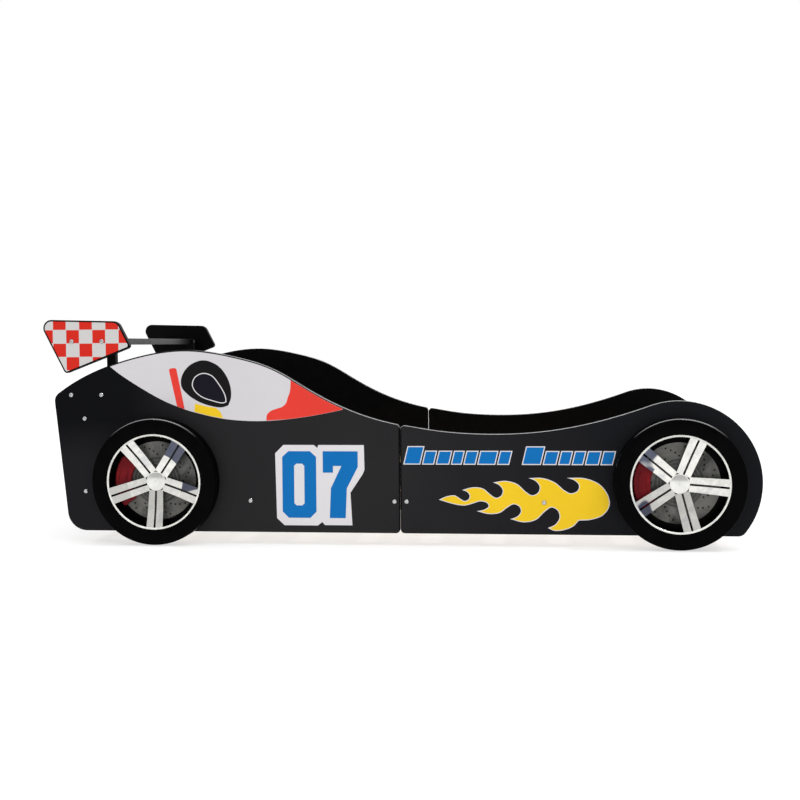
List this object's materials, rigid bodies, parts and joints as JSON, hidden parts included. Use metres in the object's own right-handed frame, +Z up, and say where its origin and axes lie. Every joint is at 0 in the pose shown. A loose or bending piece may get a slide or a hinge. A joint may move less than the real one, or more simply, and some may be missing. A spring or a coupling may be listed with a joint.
{
  "type": "toddler bed",
  "caption": "Low toddler bed shaped like a race car: black side panels with printed graphics, slatted base, chrome wheels and a rear spoiler.",
  "frame": {"origin": "on the floor, under the middle of the bed's overall box", "axes": "+X towards the nose of the car, +Y towards its left side, +Z up"},
  "size_m": [1.6043, 0.86, 0.5091],
  "materials": {
    "black_board": "satin black laminate on 15 mm fibreboard",
    "plate_board": "satin black board with a printed red and white check",
    "frame_timber": "planed pine, clear matt",
    "slat_timber": "planed pine slats, bare",
    "tyre_plastic": "moulded black, satin",
    "disc_plastic": "grey moulding with a machined look",
    "calliper_plastic": "gloss red moulding",
    "chrome_plastic": "bright chrome plating on moulded plastic",
    "bolt_chrome": "bright plated steel",
    "zinc_steel": "zinc-plated steel",
    "black_screw": "black phosphate steel",
    "glide_plastic": "hard black plastic"
  },
  "bodies": {
    "root": {"barrel_nuts": "zinc_steel", "connector_bolts": "bolt_chrome", "footboard": "black_board", "headboard": "black_board", "left_front_brake_disc": "disc_plastic", "left_front_calliper": "calliper_plastic", "left_front_leg": "frame_timber", "left_front_rail": "frame_timber", "left_front_side_panel": "black_board", "left_front_tyre": "tyre_plastic", "left_rear_brake_disc": "disc_plastic", "left_rear_calliper": "calliper_plastic", "left_rear_leg": "frame_timber", "left_rear_rail": "frame_timber", "left_rear_side_panel": "black_board", "left_rear_tyre": "tyre_plastic", "left_seam_plate": "zinc_steel", "left_spoiler_plate": "plate_board", "left_spoiler_post": "black_board", "leg_glides": "glide_plastic", "rail_bolts": "bolt_chrome", "rail_nuts": "zinc_steel", "rear_deck": "black_board", "right_front_brake_disc": "disc_plastic", "right_front_calliper": "calliper_plastic", "right_front_leg": "frame_timber", "right_front_rail": "frame_timber", "right_front_side_panel": "black_board", "right_front_tyre": "tyre_plastic", "right_rear_brake_disc": "disc_plastic", "right_rear_calliper": "calliper_plastic", "right_rear_leg": "frame_timber", "right_rear_rail": "frame_timber", "right_rear_side_panel": "black_board", "right_rear_tyre": "tyre_plastic", "right_seam_plate": "zinc_steel", "right_spoiler_plate": "plate_board", "right_spoiler_post": "black_board", "slat_01": "slat_timber", "slat_02": "slat_timber", "slat_03": "slat_timber", "slat_04": "slat_timber", "slat_05": "slat_timber", "slat_06": "slat_timber", "slat_07": "slat_timber", "slat_08": "slat_timber", "slat_09": "slat_timber", "slat_10": "slat_timber", "spindle_nuts": "zinc_steel", "spoiler_wing": "black_board", "wheel_spindles": "zinc_steel", "wood_screws": "black_screw"},
    "left_front_wheel": {"left_front_hub_cap": "chrome_plastic", "left_front_rim": "chrome_plastic"},
    "left_rear_wheel": {"left_rear_hub_cap": "chrome_plastic", "left_rear_rim": "chrome_plastic"},
    "right_front_wheel": {"right_front_hub_cap": "chrome_plastic", "right_front_rim": "chrome_plastic"},
    "right_rear_wheel": {"right_rear_hub_cap": "chrome_plastic", "right_rear_rim": "chrome_plastic"}
  },
  "joints": [
    {"name": "right_rear_wheel_spin", "type": "hinge", "parent": "root", "child": "right_rear_wheel", "pos_m": [-0.5365, -0.40215, 0.144], "axis": [0, 1, 0], "continuous": true},
    {"name": "right_front_wheel_spin", "type": "hinge", "parent": "root", "child": "right_front_wheel", "pos_m": [0.6245, -0.40215, 0.144], "axis": [0, 1, 0], "continuous": true},
    {"name": "left_rear_wheel_spin", "type": "hinge", "parent": "root", "child": "left_rear_wheel", "pos_m": [-0.5365, 0.40215, 0.144], "axis": [0, 1, 0], "continuous": true},
    {"name": "left_front_wheel_spin", "type": "hinge", "parent": "root", "child": "left_front_wheel", "pos_m": [0.6245, 0.40215, 0.144], "axis": [0, 1, 0], "continuous": true}
  ]
}
